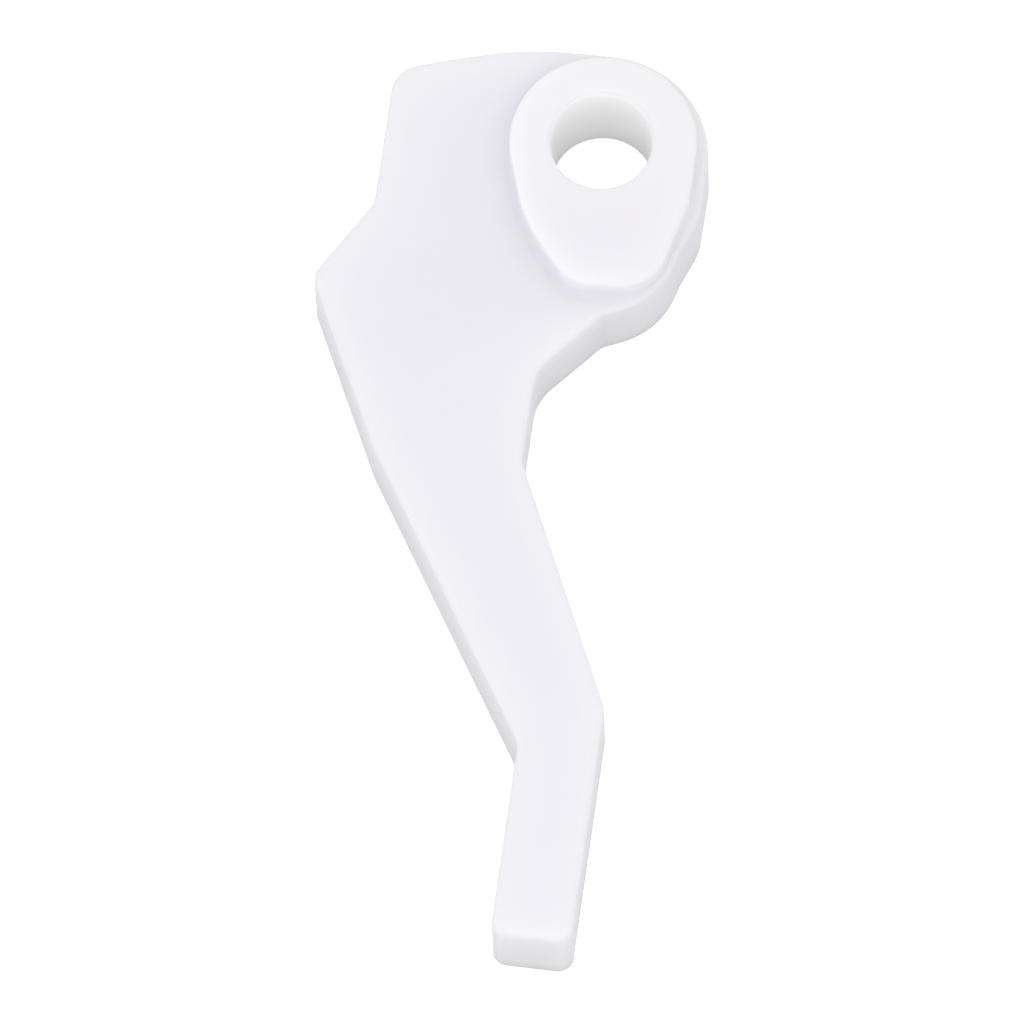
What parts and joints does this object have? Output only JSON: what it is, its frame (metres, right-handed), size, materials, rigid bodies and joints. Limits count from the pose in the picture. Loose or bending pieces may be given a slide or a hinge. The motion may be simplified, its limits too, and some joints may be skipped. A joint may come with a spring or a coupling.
{
  "type": "stair gate latch",
  "caption": "Moulded plastic latch lever with a raised pivot boss and bore, a block-shaped catch at one side and a long cranked tail for the thumb.",
  "frame": {"origin": "where the pivot axis meets the flat back face", "axes": "+Z along the pivot bore, out of the boss; +Y from the foot of the tail up to the hub; +X to the side away from the catch"},
  "size_m": [0.0293, 0.0748, 0.009],
  "materials": {
    "lever_plastic": "satin moulded"
  },
  "bodies": {
    "root": {"latch_lever": "lever_plastic"}
  },
  "joints": []
}
